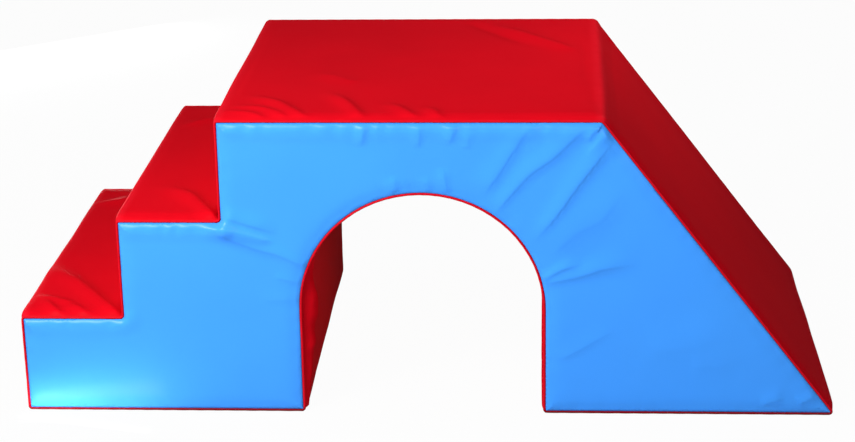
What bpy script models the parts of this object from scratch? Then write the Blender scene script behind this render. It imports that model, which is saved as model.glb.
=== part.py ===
"""Foam climbing block: two steps, a deck over a crawl tunnel, and a slope, in a sewn and piped PVC cover.

Metres, +Z up, +X from the steps to the slope. The origin is on the floor, under the middle of the block.
"""

import math

import bmesh
import bpy
from mathutils import Vector

# Block
WIDTH = 1.000
STEP_RISE = 0.250
TREAD = 0.250
DECK_LENGTH = 0.920
SLOPE_RUN = 0.575
STEP_FOOT_LENGTH = 0.695
TUNNEL_RADIUS = 0.292
TUNNEL_LEG = 0.271
EDGE_RADIUS = 0.010
DECK_EDGE_RADIUS = 0.016
INNER_CORNER_RADIUS = 0.004

# Cover
COVER = 0.0015
CLEARANCE = 0.0003
PIPING_RADIUS = 0.003
PIPING_SINK = 0.0006
ROLL_WIDTH = 0.015
BASE_LAP = 0.012
HEM_LAYERS = 3
HEM_WIDTH = 0.014

# Zip under each foot
ZIP_END_MARGIN = 0.070
ZIP_SLOT = 0.016
SLIT_TAPER = 0.006
TAPE_WIDTH = 0.016
TAPE = 0.0008
COIL_WIDTH = 0.0030
COIL_HEIGHT = 0.0024
STOP_LENGTH = 0.004
SLIDER_LENGTH = 0.016
SLIDER_FRONT_WIDTH = 0.0116
SLIDER_REAR_WIDTH = 0.0092
SLIDER_PLATE = 0.0010
SLIDER_NECK = 0.0008
SLIDER_NECK_LENGTH = 0.005
LUG = 0.0010
PIVOT_RADIUS = 0.0006
TAB_EYE_WALL = 0.00045
TAB_EYE_WIDTH = 0.0036
TAB_WIDTH = 0.0056
TAB = 0.0012
TAB_LENGTH = 0.024

# Facets
FILLET_STEPS = 4
ARC_STEPS = 28
ROLL_STEPS = 3
ROUND_SIDES = 12
SMOOTH_ANGLE = math.radians(35)
LEAST_RADIUS = 0.001

# Places that follow from the sizes
HEIGHT = 3 * STEP_RISE
SLOPE_ANGLE = math.atan2(HEIGHT, SLOPE_RUN)
TOE_CUT = EDGE_RADIUS * (1 / math.tan(SLOPE_ANGLE / 2) - 1)
LENGTH = 2 * TREAD + DECK_LENGTH + SLOPE_RUN - TOE_CUT
LEFT = -LENGTH / 2
LOWER_RISER_X = LEFT + TREAD
UPPER_RISER_X = LOWER_RISER_X + TREAD
DECK_END_X = UPPER_RISER_X + DECK_LENGTH
SLOPE_TOE_X = DECK_END_X + SLOPE_RUN
TUNNEL_X = LEFT + STEP_FOOT_LENGTH + TUNNEL_RADIUS

PIPING_INSET = PIPING_RADIUS + PIPING_SINK
SEAM_INSET = PIPING_INSET + PIPING_RADIUS + CLEARANCE
ROLL_DEPTH = PIPING_INSET - COVER / 2
FLAT_INSET = SEAM_INSET + ROLL_WIDTH
FOAM_INSET = COVER + CLEARANCE
FOAM_CHAMFER = FLAT_INSET - FOAM_INSET

STEP_TOE_SEAM_X = LEFT + EDGE_RADIUS + BASE_LAP
STEP_HEEL_SEAM_X = TUNNEL_X - TUNNEL_RADIUS - EDGE_RADIUS - BASE_LAP
SLOPE_HEEL_SEAM_X = TUNNEL_X + TUNNEL_RADIUS + EDGE_RADIUS + BASE_LAP
SLOPE_TOE_SEAM_X = SLOPE_TOE_X - EDGE_RADIUS / math.tan(SLOPE_ANGLE / 2) - BASE_LAP
STEP_ZIP_X = (STEP_TOE_SEAM_X + STEP_HEEL_SEAM_X) / 2
SLOPE_ZIP_X = (SLOPE_HEEL_SEAM_X + SLOPE_TOE_SEAM_X) / 2

HEM = HEM_LAYERS * COVER
TAPE_Z = HEM + CLEARANCE
COIL_Z = TAPE_Z + TAPE + CLEARANCE
INNER_PLATE_Z = COIL_Z + COIL_HEIGHT + CLEARANCE
OUTER_PLATE_Z = TAPE_Z - CLEARANCE - SLIDER_PLATE
ZIP_TOP_Z = INNER_PLATE_Z + SLIDER_PLATE
TAB_EYE_RADIUS = PIVOT_RADIUS + CLEARANCE + TAB_EYE_WALL
PIVOT_Z = OUTER_PLATE_Z - CLEARANCE - TAB_EYE_RADIUS
HALF_SPLIT = SLIDER_NECK / 2 + CLEARANCE
SLIT_HALF = WIDTH / 2 - ZIP_END_MARGIN
CHAIN_START_Y = -SLIT_HALF + TAB_LENGTH + 2 * CLEARANCE
CHAIN_END_Y = SLIT_HALF - CLEARANCE
SLIDER_REST_Y = CHAIN_END_Y - STOP_LENGTH - CLEARANCE - SLIDER_LENGTH / 2
SLIDER_TRAVEL = SLIDER_REST_Y - SLIDER_LENGTH / 2 - CHAIN_START_Y - STOP_LENGTH - CLEARANCE

# Corners of the side view, counter-clockwise from the floor at the foot of the steps, with their rounding
CORNERS = {
    "step_toe": ((LEFT, 0), EDGE_RADIUS),
    "step_heel": ((TUNNEL_X - TUNNEL_RADIUS, 0), EDGE_RADIUS),
    "slope_heel": ((TUNNEL_X + TUNNEL_RADIUS, 0), EDGE_RADIUS),
    "slope_toe": ((SLOPE_TOE_X, 0), EDGE_RADIUS),
    "deck_edge": ((DECK_END_X, HEIGHT), DECK_EDGE_RADIUS),
    "deck_nose": ((UPPER_RISER_X, HEIGHT), EDGE_RADIUS),
    "upper_corner": ((UPPER_RISER_X, 2 * STEP_RISE), INNER_CORNER_RADIUS),
    "upper_nose": ((LOWER_RISER_X, 2 * STEP_RISE), EDGE_RADIUS),
    "lower_corner": ((LOWER_RISER_X, STEP_RISE), INNER_CORNER_RADIUS),
    "lower_nose": ((LEFT, STEP_RISE), EDGE_RADIUS),
}
# A seam runs down the middle of each inner corner of the steps, with half the clearance on either side
SEAM_HALF = CLEARANCE / 2 / (INNER_CORNER_RADIUS * math.pi / 2)


def clear_scene():
    for obj in list(bpy.data.objects):
        bpy.data.objects.remove(obj)


def finish_material(name, colour, roughness, metallic=0.0):
    material = bpy.data.materials.new(name)
    material.use_nodes = True
    shader = material.node_tree.nodes["Principled BSDF"]
    shader.inputs["Base Color"].default_value = (*colour, 1)
    shader.inputs["Roughness"].default_value = roughness
    shader.inputs["Metallic"].default_value = metallic
    return material


def neighbours(name):
    """Unit directions of the side view's edges into and out of a corner."""
    names = list(CORNERS)
    at = names.index(name)
    here = Vector(CORNERS[name][0])
    before = Vector(CORNERS[names[at - 1]][0])
    after = Vector(CORNERS[names[(at + 1) % len(names)]][0])
    into = Vector((0, -1)) if name == "slope_heel" else (here - before).normalized()
    out_of = Vector((0, 1)) if name == "step_heel" else (after - here).normalized()
    return into, out_of


def fillet(name, inset, start=0.0, end=1.0):
    """Points round one corner of the side view, inset into the block, over a share of its arc."""
    into, out_of = neighbours(name)
    sharp, radius = CORNERS[name]
    left_in, left_out = Vector((-into.y, into.x)), Vector((-out_of.y, out_of.x))
    corner = Vector(sharp) + inset * (left_in + left_out) / (1 + left_in.dot(left_out))
    turn = math.atan2(into.x * out_of.y - into.y * out_of.x, into.dot(out_of))
    side = math.copysign(1, turn)
    radius = max(radius - side * inset, LEAST_RADIUS)
    centre = corner - into * radius * math.tan(abs(turn) / 2) + left_in * side * radius
    first = math.atan2(-left_in.y * side, -left_in.x * side)
    angles = [first + turn * (start + (end - start) * i / FILLET_STEPS) for i in range(FILLET_STEPS + 1)]
    return [centre + radius * Vector((math.cos(a), math.sin(a))) for a in angles]


def tunnel_arc(inset):
    radius = TUNNEL_RADIUS + inset
    angles = [math.pi * (1 - i / ARC_STEPS) for i in range(ARC_STEPS + 1)]
    return [Vector((TUNNEL_X + radius * math.cos(a), TUNNEL_LEG + radius * math.sin(a))) for a in angles]


def outline(inset):
    """All points round the block's side view, inset into the block."""
    points = []
    for name in CORNERS:
        points += fillet(name, inset)
        if name == "step_heel":
            points += tunnel_arc(inset)
    return points


def roll():
    """How the cover draws in at a piped seam: (distance from the edge, depth), from the seam inwards."""
    angles = [math.pi / 2 * (1 - i / ROLL_STEPS) for i in range(ROLL_STEPS + 1)]
    return [(FLAT_INSET - ROLL_WIDTH * math.sin(a), ROLL_DEPTH * (1 - math.cos(a))) for a in angles]


def across():
    """Stations across the block, front seam to back seam: (y, depth of the cover there)."""
    front = [(-WIDTH / 2 + edge, depth) for edge, depth in roll()]
    return front + [(-y, depth) for y, depth in reversed(front)]


def new_object(name, mesh, material):
    mesh.materials.append(material)
    mesh.shade_smooth()
    mesh.set_sharp_from_angle(angle=SMOOTH_ANGLE)
    obj = bpy.data.objects.new(name, mesh)
    bpy.context.scene.collection.objects.link(obj)
    return obj


def solid(name, points, faces, material):
    """An object from points and faces, with its faces turned outwards."""
    bm = bmesh.new()
    verts = [bm.verts.new(p) for p in points]
    for face in faces:
        bm.faces.new([verts[i] for i in face])
    bmesh.ops.recalc_face_normals(bm, faces=bm.faces)
    mesh = bpy.data.meshes.new(name)
    bm.to_mesh(mesh)
    bm.free()
    return new_object(name, mesh, material)


def loft(name, rings, material):
    """A solid through rings of equal length, capped at both ends."""
    size = len(rings[0])
    faces = [tuple(range(size)), tuple(range((len(rings) - 1) * size, len(rings) * size))]
    for k in range(len(rings) - 1):
        for i in range(size):
            j = (i + 1) % size
            faces.append((k * size + i, k * size + j, (k + 1) * size + j, (k + 1) * size + i))
    return solid(name, [p for ring in rings for p in ring], faces, material)


def prism(name, profile, start, end, material):
    """A solid of a profile in X and Y, drawn out along Z."""
    return loft(name, [[(x, y, z) for x, y in profile] for z in (start, end)], material)


def bar(name, profile, start, end, material):
    """A solid of a profile in Y and Z, drawn out along X."""
    return loft(name, [[(x, y, z) for y, z in profile] for x in (start, end)], material)


def rectangle(low, high):
    return [(low[0], low[1]), (high[0], low[1]), (high[0], high[1]), (low[0], high[1])]


def disc(centre, radius):
    angles = [2 * math.pi * i / ROUND_SIDES for i in range(ROUND_SIDES)]
    return [(centre[0] + radius * math.cos(a), centre[1] + radius * math.sin(a)) for a in angles]


def block(name, low, high, material):
    return prism(name, rectangle(low, high), low[2], high[2], material)


def combine(obj, other, operation):
    """Joins, cuts or trims obj with a helper, which stays in the scene as a hidden wire."""
    other.hide_render = True
    other.display_type = "WIRE"
    modifier = obj.modifiers.new(other.name, "BOOLEAN")
    modifier.operation = operation
    modifier.object = other
    modifier.solver = "EXACT"


def strip(name, path, material):
    """A band of cover along part of the side view, across the block, drawn in at both piped seams."""
    columns = [([(x, y, z) for x, z in path(depth)], [(x, y, z) for x, z in path(depth + COVER)])
               for y, depth in across()]
    size, count = len(columns[0][0]), len(columns)
    points = [p for column in columns for layer in column for p in layer]

    def at(k, layer, i):
        return (2 * k + layer) * size + i

    faces = []
    for k in range(count - 1):
        for i in range(size - 1):
            for layer in (0, 1):
                near, far = at(k, layer, i), at(k + 1, layer, i)
                faces.append((near, far, far + 1, near + 1))
        for i in (0, size - 1):
            faces.append((at(k, 0, i), at(k + 1, 0, i), at(k + 1, 1, i), at(k, 1, i)))
    for k in (0, count - 1):
        for i in range(size - 1):
            faces.append((at(k, 0, i), at(k, 0, i + 1), at(k, 1, i + 1), at(k, 1, i)))
    return solid(name, points, faces, material)


def lower_step_path(inset):
    return (fillet("lower_corner", inset, 0.5 + SEAM_HALF, 1) + fillet("lower_nose", inset)
            + fillet("step_toe", inset) + [Vector((STEP_TOE_SEAM_X, inset))])


def upper_step_path(inset):
    return (fillet("upper_corner", inset, 0.5 + SEAM_HALF, 1) + fillet("upper_nose", inset)
            + fillet("lower_corner", inset, 0, 0.5 - SEAM_HALF))


def deck_path(inset):
    return ([Vector((SLOPE_TOE_SEAM_X, inset))] + fillet("slope_toe", inset) + fillet("deck_edge", inset)
            + fillet("deck_nose", inset) + fillet("upper_corner", inset, 0, 0.5 - SEAM_HALF))


def lining_path(inset):
    return ([Vector((STEP_HEEL_SEAM_X, inset))] + fillet("step_heel", inset) + tunnel_arc(inset)
            + fillet("slope_heel", inset) + [Vector((SLOPE_HEEL_SEAM_X, inset))])


def side_panel(name, side, material):
    """The whole side of the block in one sheet, with the tunnel cut out of it and its edges rolled in."""
    outer = [[(x, side * (WIDTH / 2 - depth), z) for x, z in outline(edge)] for edge, depth in roll()]
    inner = [[(x, side * (WIDTH / 2 - depth - COVER), z) for x, z in outline(edge)] for edge, depth in roll()]
    return loft(name, inner[::-1] + outer, material)


def piping(name, side, material):
    """One closed cord round the side panel's edge."""
    curve = bpy.data.curves.new(name, "CURVE")
    curve.dimensions = "3D"
    curve.bevel_depth = PIPING_RADIUS
    curve.bevel_resolution = 2
    path = outline(PIPING_INSET)
    spline = curve.splines.new("POLY")
    spline.points.add(len(path) - 1)
    for point, (x, z) in zip(spline.points, path):
        point.co = (x, side * (WIDTH / 2 - PIPING_INSET), z, 1)
    spline.use_cyclic_u = True
    curve.materials.append(material)
    obj = bpy.data.objects.new(name, curve)
    bpy.context.scene.collection.objects.link(obj)


def base_panel(name, seam_x, zip_x, material):
    """Half of a foot's base, from a cover seam to the zip, with a folded hem along the zip's slot."""
    towards = math.copysign(1, zip_x - seam_x)
    seam = seam_x + towards * CLEARANCE
    closed_edge = zip_x - towards * CLEARANCE / 2
    open_edge = zip_x - towards * ZIP_SLOT / 2
    ends = [(y, depth, closed_edge) for y, depth in across()]
    slit = [(-SLIT_HALF - SLIT_TAPER, 0, closed_edge), (-SLIT_HALF, 0, open_edge)]
    slit += [(-y, depth, edge) for y, depth, edge in reversed(slit)]
    half = len(ends) // 2
    rings = []
    for y, z, edge in ends[:half] + slit + ends[half:]:
        hem = open_edge - towards * HEM_WIDTH
        profile = [(seam, z), (edge, z), (edge, z + HEM), (hem, z + HEM), (hem, z + COVER), (seam, z + COVER)]
        rings.append([(x, y, height) for x, height in profile])
    return loft(name, rings, material)


def foam_core(name, material):
    """The whole core with its side edges chamfered to clear the rolled seams; the slabs are cut from it."""
    side = WIDTH / 2 - FOAM_INSET
    stations = [(-side, FLAT_INSET), (FOAM_CHAMFER - side, FOAM_INSET)]
    stations += [(-y, inset) for y, inset in reversed(stations)]
    return loft(name, [[(x, y, z) for x, z in outline(inset)] for y, inset in stations], material)


def foam_slab(name, layer, ends, material):
    """One glued slab of the core, one step high, between two places along the block."""
    slab = foam_core(name, material)
    low = (ends[0] + CLEARANCE / 2, -WIDTH, layer * STEP_RISE + CLEARANCE / 2)
    high = (ends[1] - CLEARANCE / 2, WIDTH, (layer + 1) * STEP_RISE - CLEARANCE / 2)
    combine(slab, block(name + "_bounds", low, high, material), "INTERSECT")
    return slab


def zip_groove(slab, zip_x, material):
    """The channel in a foot's foam that takes the hems and the zip."""
    half = ZIP_SLOT / 2 + HEM_WIDTH + CLEARANCE
    low = (zip_x - half, -WIDTH, -STEP_RISE)
    high = (zip_x + half, WIDTH, ZIP_TOP_Z + CLEARANCE)
    combine(slab, block(slab.name + "_groove", low, high, material), "DIFFERENCE")


def slider(name, material):
    """Two plates round the chain, joined by a neck between the coils, with a pivot for the pull tab below."""
    half = SLIDER_LENGTH / 2
    front, rear = SLIDER_FRONT_WIDTH / 2, SLIDER_REAR_WIDTH / 2
    shield = [(-rear, -half), (rear, -half), (front, half / 2), (front / 2, half),
              (-front / 2, half), (-front, half / 2)]
    body = prism(name, shield, OUTER_PLATE_Z, OUTER_PLATE_Z + SLIDER_PLATE, material)
    combine(body, prism(name + "_inner_plate", shield, INNER_PLATE_Z, ZIP_TOP_Z, material), "UNION")
    bite = SLIDER_PLATE / 2
    neck = rectangle((-SLIDER_NECK / 2, half - SLIDER_NECK_LENGTH - bite), (SLIDER_NECK / 2, half - bite))
    combine(body, prism(name + "_neck", neck, OUTER_PLATE_Z + bite, ZIP_TOP_Z - bite, material), "UNION")
    gap = TAB_EYE_WIDTH / 2 + CLEARANCE
    lug_foot_z = PIVOT_Z - PIVOT_RADIUS - LUG / 2
    lug = rectangle((-TAB_EYE_RADIUS, lug_foot_z), (TAB_EYE_RADIUS, OUTER_PLATE_Z + bite))
    for side in (-1, 1):
        ends = sorted((side * gap, side * (gap + LUG)))
        combine(body, bar(f"{name}_lug_{side}", lug, *ends, material), "UNION")
    pin = disc((0, PIVOT_Z), PIVOT_RADIUS)
    combine(body, bar(name + "_pivot", pin, -gap - LUG / 2, gap + LUG / 2, material), "UNION")
    return body


def pull_tab(name, material):
    """A flat tab with an eye round the slider's pivot; its origin is on the pivot."""
    shoulder = -TAB_EYE_RADIUS - LUG
    half, eye = TAB_WIDTH / 2, TAB_EYE_WIDTH / 2
    end = PIVOT_RADIUS - TAB_LENGTH
    blade = [(-eye, -PIVOT_RADIUS - 2 * CLEARANCE), (-eye, shoulder), (-half, shoulder - half + eye),
             (-half, end + half / 2), (-half / 2, end), (half / 2, end), (half, end + half / 2),
             (half, shoulder - half + eye), (eye, shoulder), (eye, -PIVOT_RADIUS - 2 * CLEARANCE)]
    tab = prism(name, blade, -TAB / 2, TAB / 2, material)
    combine(tab, bar(name + "_eye", disc((0, 0), TAB_EYE_RADIUS), -eye, eye, material), "UNION")
    reach = eye + LUG
    bore = disc((0, 0), PIVOT_RADIUS + CLEARANCE)
    combine(tab, bar(name + "_bore", bore, -reach, reach, material), "DIFFERENCE")
    return tab


def zip_fastener(prefix, zip_x, tape_finish, coil_finish, metal_finish):
    """Tapes, coils, stops, slider and pull tab of one zip, under one empty on the zip's line."""
    line = bpy.data.objects.new(prefix + "_line", None)
    line.location = (zip_x, 0, 0)
    bpy.context.scene.collection.objects.link(line)
    pieces = []
    first_y = CHAIN_START_Y + STOP_LENGTH + CLEARANCE
    last_y = CHAIN_END_Y - STOP_LENGTH - CLEARANCE
    for word, side in (("left", -1), ("right", 1)):
        tape_x = sorted((side * HALF_SPLIT, side * (HALF_SPLIT + TAPE_WIDTH)))
        low, high = (tape_x[0], -SLIT_HALF, TAPE_Z), (tape_x[1], SLIT_HALF, TAPE_Z + TAPE)
        pieces.append(block(f"{prefix}_{word}_tape", low, high, tape_finish))
        coil_x = sorted((side * HALF_SPLIT, side * (HALF_SPLIT + COIL_WIDTH)))
        low, high = (coil_x[0], first_y, COIL_Z), (coil_x[1], last_y, COIL_Z + COIL_HEIGHT)
        pieces.append(block(f"{prefix}_{word}_coil", low, high, coil_finish))
    reach = HALF_SPLIT + COIL_WIDTH
    for word, y in (("bottom", CHAIN_START_Y), ("top", CHAIN_END_Y - STOP_LENGTH)):
        pieces.append(block(f"{prefix}_{word}_stop", (-reach, y, COIL_Z),
                            (reach, y + STOP_LENGTH, COIL_Z + COIL_HEIGHT), metal_finish))
    carriage = slider(f"{prefix}_slider", metal_finish)
    tab = pull_tab(f"{prefix}_pull_tab", metal_finish)
    for helper in [m.object for m in carriage.modifiers]:
        helper.parent = carriage
    for helper in [m.object for m in tab.modifiers]:
        helper.parent = tab
    carriage.location = (0, SLIDER_REST_Y, 0)
    tab.parent = carriage
    tab.location = (0, 0, PIVOT_Z)
    for piece in pieces + [carriage]:
        piece.parent = line


def main():
    clear_scene()
    blue = finish_material("blue PVC cover", (0.070, 0.390, 0.960), 0.35)
    red = finish_material("red PVC cover", (0.680, 0.006, 0.012), 0.35)
    piping_red = finish_material("red PVC piping", (0.820, 0.006, 0.020), 0.30)
    base = finish_material("non-slip base cloth", (0.030, 0.030, 0.033), 0.85)
    foam = finish_material("polyurethane foam", (0.850, 0.800, 0.620), 0.95)
    tape = finish_material("zip tape", (0.020, 0.020, 0.022), 0.90)
    coil = finish_material("nylon zip coil", (0.035, 0.035, 0.038), 0.45)
    metal = finish_material("nickel zinc alloy", (0.620, 0.610, 0.590), 0.30, 1.0)

    side_panel("front_side_panel", -1, blue)
    side_panel("back_side_panel", 1, blue)
    piping("front_piping", -1, piping_red)
    piping("back_piping", 1, piping_red)
    strip("lower_step_cover", lower_step_path, red)
    strip("upper_step_cover", upper_step_path, red)
    strip("deck_and_slope_cover", deck_path, red)
    strip("tunnel_lining", lining_path, red)
    base_panel("step_base_toe_panel", STEP_TOE_SEAM_X, STEP_ZIP_X, base)
    base_panel("step_base_heel_panel", STEP_HEEL_SEAM_X, STEP_ZIP_X, base)
    base_panel("slope_base_heel_panel", SLOPE_HEEL_SEAM_X, SLOPE_ZIP_X, base)
    base_panel("slope_base_toe_panel", SLOPE_TOE_SEAM_X, SLOPE_ZIP_X, base)

    left_half, right_half, whole = (-LENGTH, TUNNEL_X), (TUNNEL_X, LENGTH), (-LENGTH, LENGTH)
    zip_groove(foam_slab("lower_step_foam", 0, left_half, foam), STEP_ZIP_X, foam)
    foam_slab("upper_step_foam", 1, left_half, foam)
    foam_slab("deck_foam", 2, whole, foam)
    foam_slab("upper_slope_foam", 1, right_half, foam)
    zip_groove(foam_slab("lower_slope_foam", 0, right_half, foam), SLOPE_ZIP_X, foam)

    zip_fastener("step_zip", STEP_ZIP_X, tape, coil, metal)
    zip_fastener("slope_zip", SLOPE_ZIP_X, tape, coil, metal)


main()
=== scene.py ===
"""Looks of the foam climbing block: sewn PVC covers over foam slabs, piped edges, base cloth and zips.

Metres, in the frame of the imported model: +Z up, +X from the steps to the slope, -Y towards the camera.
"""

import math

import bpy
import numpy as np
from mathutils import Matrix, Vector, geometry, noise


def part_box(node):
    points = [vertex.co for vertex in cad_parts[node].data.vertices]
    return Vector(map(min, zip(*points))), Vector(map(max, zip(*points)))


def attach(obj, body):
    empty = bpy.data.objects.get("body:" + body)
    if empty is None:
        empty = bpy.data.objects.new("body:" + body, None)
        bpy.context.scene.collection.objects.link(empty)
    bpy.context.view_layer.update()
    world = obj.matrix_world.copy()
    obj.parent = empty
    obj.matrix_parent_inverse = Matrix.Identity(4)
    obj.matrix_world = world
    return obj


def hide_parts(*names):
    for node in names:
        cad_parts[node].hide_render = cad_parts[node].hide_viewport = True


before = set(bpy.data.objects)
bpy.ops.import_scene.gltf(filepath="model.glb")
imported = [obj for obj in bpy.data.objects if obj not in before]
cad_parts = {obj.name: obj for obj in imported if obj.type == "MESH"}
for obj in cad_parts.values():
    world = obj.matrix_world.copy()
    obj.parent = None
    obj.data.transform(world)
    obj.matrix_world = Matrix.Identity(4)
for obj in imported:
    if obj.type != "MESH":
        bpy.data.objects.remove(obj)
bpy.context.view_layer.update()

# Sizes of the block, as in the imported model
WIDTH = 1.000
STEP_RISE = 0.250
TREAD = 0.250
DECK_LENGTH = 0.920
SLOPE_RUN = 0.575
STEP_FOOT_LENGTH = 0.695
TUNNEL_RADIUS = 0.292
TUNNEL_LEG = 0.271
EDGE_RADIUS = 0.010
DECK_EDGE_RADIUS = 0.016
INNER_CORNER_RADIUS = 0.004
COVER = 0.0015
CLEARANCE = 0.0003
PIPING_RADIUS = 0.003
PIPING_INSET = 0.0036
SEAM_INSET = PIPING_INSET + PIPING_RADIUS + CLEARANCE
ROLL_WIDTH = 0.015
ROLL_DEPTH = PIPING_INSET - COVER / 2
FLAT_INSET = SEAM_INSET + ROLL_WIDTH
BASE_LAP = 0.012
HEM_WIDTH = 0.014
FOAM_GAP = 0.007

# Zip under each foot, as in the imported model
ZIP_END_MARGIN = 0.070
ZIP_SLOT = 0.016
SLIT_TAPER = 0.006
TAPE = 0.0008
COIL_WIDTH = 0.0030
HALF_SPLIT = 0.0007
SLIT_HALF = WIDTH / 2 - ZIP_END_MARGIN
GROOVE_TOP = 0.0115

# Base cloth, thread and coil
BASE_CLOTH = 0.0009
BASE_LIFT = 0.0006
BASE_SAG = 0.0009
BASE_SAG_LENGTH = 1 / 14
HEM_LAYER = 1.6 * BASE_CLOTH
THREAD_RADIUS = 0.00035
STITCH_LENGTH = 0.0034
STITCH_SHARE = 0.8
STITCH_SLANT = 0.12
SEAM_STITCH_INSET = 0.004
HEM_STITCH_INSET = 0.003
COIL_THREAD_RADIUS = 0.00036
COIL_PITCH = 0.0014
COIL_TURN_POINTS = 8

# Small shapes: uneven piping, rounded foam and the edges of the zips' metal
PIPING_PULL = 0.0004
PIPING_PULL_LENGTH = 1 / 22
PIPING_UNEVEN = 0.06
PIPING_UNEVEN_STEP = 1.7
FOAM_ROUNDING = 0.003
METAL_ROUNDING = 0.00015
WELD_GAP = 1e-5

# Places that follow from the sizes
HEIGHT = 3 * STEP_RISE
SLOPE_ANGLE = math.atan2(HEIGHT, SLOPE_RUN)
TOE_CUT = EDGE_RADIUS * (1 / math.tan(SLOPE_ANGLE / 2) - 1)
LENGTH = 2 * TREAD + DECK_LENGTH + SLOPE_RUN - TOE_CUT
LEFT = -LENGTH / 2
LOWER_RISER_X = LEFT + TREAD
UPPER_RISER_X = LOWER_RISER_X + TREAD
DECK_END_X = UPPER_RISER_X + DECK_LENGTH
SLOPE_TOE_X = DECK_END_X + SLOPE_RUN
TUNNEL_X = LEFT + STEP_FOOT_LENGTH + TUNNEL_RADIUS
STEP_TOE_SEAM_X = LEFT + EDGE_RADIUS + BASE_LAP
STEP_HEEL_SEAM_X = TUNNEL_X - TUNNEL_RADIUS - EDGE_RADIUS - BASE_LAP
SLOPE_HEEL_SEAM_X = TUNNEL_X + TUNNEL_RADIUS + EDGE_RADIUS + BASE_LAP
SLOPE_TOE_SEAM_X = SLOPE_TOE_X - EDGE_RADIUS / math.tan(SLOPE_ANGLE / 2) - BASE_LAP
STEP_ZIP_X = (STEP_TOE_SEAM_X + STEP_HEEL_SEAM_X) / 2
SLOPE_ZIP_X = (SLOPE_HEEL_SEAM_X + SLOPE_TOE_SEAM_X) / 2

# Corners of the side view, counter-clockwise from the floor at the foot of the steps, with their rounding
CORNERS = {
    "step_toe": ((LEFT, 0), EDGE_RADIUS),
    "step_heel": ((TUNNEL_X - TUNNEL_RADIUS, 0), EDGE_RADIUS),
    "slope_heel": ((TUNNEL_X + TUNNEL_RADIUS, 0), EDGE_RADIUS),
    "slope_toe": ((SLOPE_TOE_X, 0), EDGE_RADIUS),
    "deck_edge": ((DECK_END_X, HEIGHT), DECK_EDGE_RADIUS),
    "deck_nose": ((UPPER_RISER_X, HEIGHT), EDGE_RADIUS),
    "upper_corner": ((UPPER_RISER_X, 2 * STEP_RISE), INNER_CORNER_RADIUS),
    "upper_nose": ((LOWER_RISER_X, 2 * STEP_RISE), EDGE_RADIUS),
    "lower_corner": ((LOWER_RISER_X, STEP_RISE), INNER_CORNER_RADIUS),
    "lower_nose": ((LEFT, STEP_RISE), EDGE_RADIUS),
}

# Fineness of the sheets before they are subdivided once, and how far from a fold, in widths of it, a side's
# mesh is twice as fine
FOLD_REACH = 2.0
SIDE_GAP = 0.014
DECK_GAP = 0.015
TREAD_GAP = 0.011
RING_GAP = 0.012
FILLET_STEPS = 6
ARC_STEPS = 64
ROLL_STEPS = 4
CURVE_STEPS = 8

# How far a cover may swell off its foam, and how full it stands beside a seam. It is fullest below level top
# edges and along the front, and keeps only a share of that where it is drawn tight.
AIR_PRESSURE = 4
SWELL_FRAMES = 20
SWELL = 0.002
SIDE_FULLNESS = 0.010
DECK_FULLNESS = 0.006
TREAD_FULLNESS = 0.007
LINING_FULLNESS = 0.004
FULL_REACH = 0.012
LOOSE_REACH = 0.060
TIGHT_SHARE = 0.30
SEAM_RAMP = 0.012
# A cover that faces down by more than this lies on the floor
FLOOR_FACING = 0.6

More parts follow.
